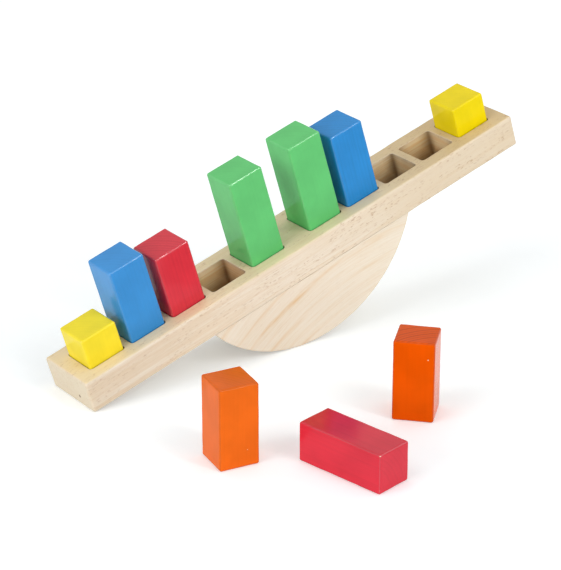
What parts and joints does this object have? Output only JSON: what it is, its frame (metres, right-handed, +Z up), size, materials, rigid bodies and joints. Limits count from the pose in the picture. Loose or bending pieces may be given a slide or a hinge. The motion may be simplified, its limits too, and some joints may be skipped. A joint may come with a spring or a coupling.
{
  "type": "stacking balance game",
  "caption": "Wooden see-saw balance toy: a beam with square pockets on a round rocker, and painted square blocks of rising height that stand in the pockets or beside it.",
  "frame": {"origin": "on the table plane, under the middle of the whole set's outline at rest", "axes": "+X along the tilted beam to its raised end, +Y from the loose blocks to the see-saw, +Z up"},
  "size_m": [0.3836, 0.2588, 0.1576],
  "materials": {
    "beam_wood": "satin",
    "rocker_wood": "satin",
    "dowel_wood": "matte",
    "yellow_paint": "satin",
    "orange_paint": "satin",
    "red_paint": "satin",
    "blue_paint": "satin",
    "green_paint": "satin"
  },
  "bodies": {
    "red_block_lying": {"red_block_lying": "red_paint"},
    "see_saw": {"beam": "beam_wood", "rocker": "rocker_wood", "dowel_front": "dowel_wood", "dowel_rear": "dowel_wood"},
    "yellow_block_left": {"yellow_block_left": "yellow_paint"},
    "blue_block_left": {"blue_block_left": "blue_paint"},
    "red_block_left": {"red_block_left": "red_paint"},
    "green_block_left": {"green_block_left": "green_paint"},
    "green_block_right": {"green_block_right": "green_paint"},
    "blue_block_right": {"blue_block_right": "blue_paint"},
    "yellow_block_right": {"yellow_block_right": "yellow_paint"},
    "orange_block_left": {"orange_block_left": "orange_paint"},
    "orange_block_right": {"orange_block_right": "orange_paint"}
  },
  "joints": [
    {"name": "see_saw_rock", "type": "hinge", "parent": "red_block_lying", "child": "see_saw", "pos_m": [-0.01062, 0.10293, 0.1033], "axis": [0, 1, 0], "range_deg": [0, 33.08]},
    {"name": "yellow_block_left_lift", "type": "slide", "parent": "see_saw", "child": "yellow_block_left", "axis": [-0.2846, 0, 0.9586], "range_m": [0, 0.03]},
    {"name": "blue_block_left_lift", "type": "slide", "parent": "see_saw", "child": "blue_block_left", "axis": [-0.2846, 0, 0.9586], "range_m": [0, 0.03]},
    {"name": "red_block_left_lift", "type": "slide", "parent": "see_saw", "child": "red_block_left", "axis": [-0.2846, 0, 0.9586], "range_m": [0, 0.03]},
    {"name": "green_block_left_lift", "type": "slide", "parent": "see_saw", "child": "green_block_left", "axis": [-0.2846, 0, 0.9586], "range_m": [0, 0.03]},
    {"name": "green_block_right_lift", "type": "slide", "parent": "see_saw", "child": "green_block_right", "axis": [-0.2846, 0, 0.9586], "range_m": [0, 0.03]},
    {"name": "blue_block_right_lift", "type": "slide", "parent": "see_saw", "child": "blue_block_right", "axis": [-0.2846, 0, 0.9586], "range_m": [0, 0.03]},
    {"name": "yellow_block_right_lift", "type": "slide", "parent": "see_saw", "child": "yellow_block_right", "axis": [-0.2846, 0, 0.9586], "range_m": [0, 0.03]},
    {"name": "orange_block_left_lift", "type": "slide", "parent": "red_block_lying", "child": "orange_block_left", "axis": [0, 0, 1], "range_m": [0, 0.06]},
    {"name": "orange_block_right_lift", "type": "slide", "parent": "red_block_lying", "child": "orange_block_right", "axis": [0, 0, 1], "range_m": [0, 0.06]}
  ]
}
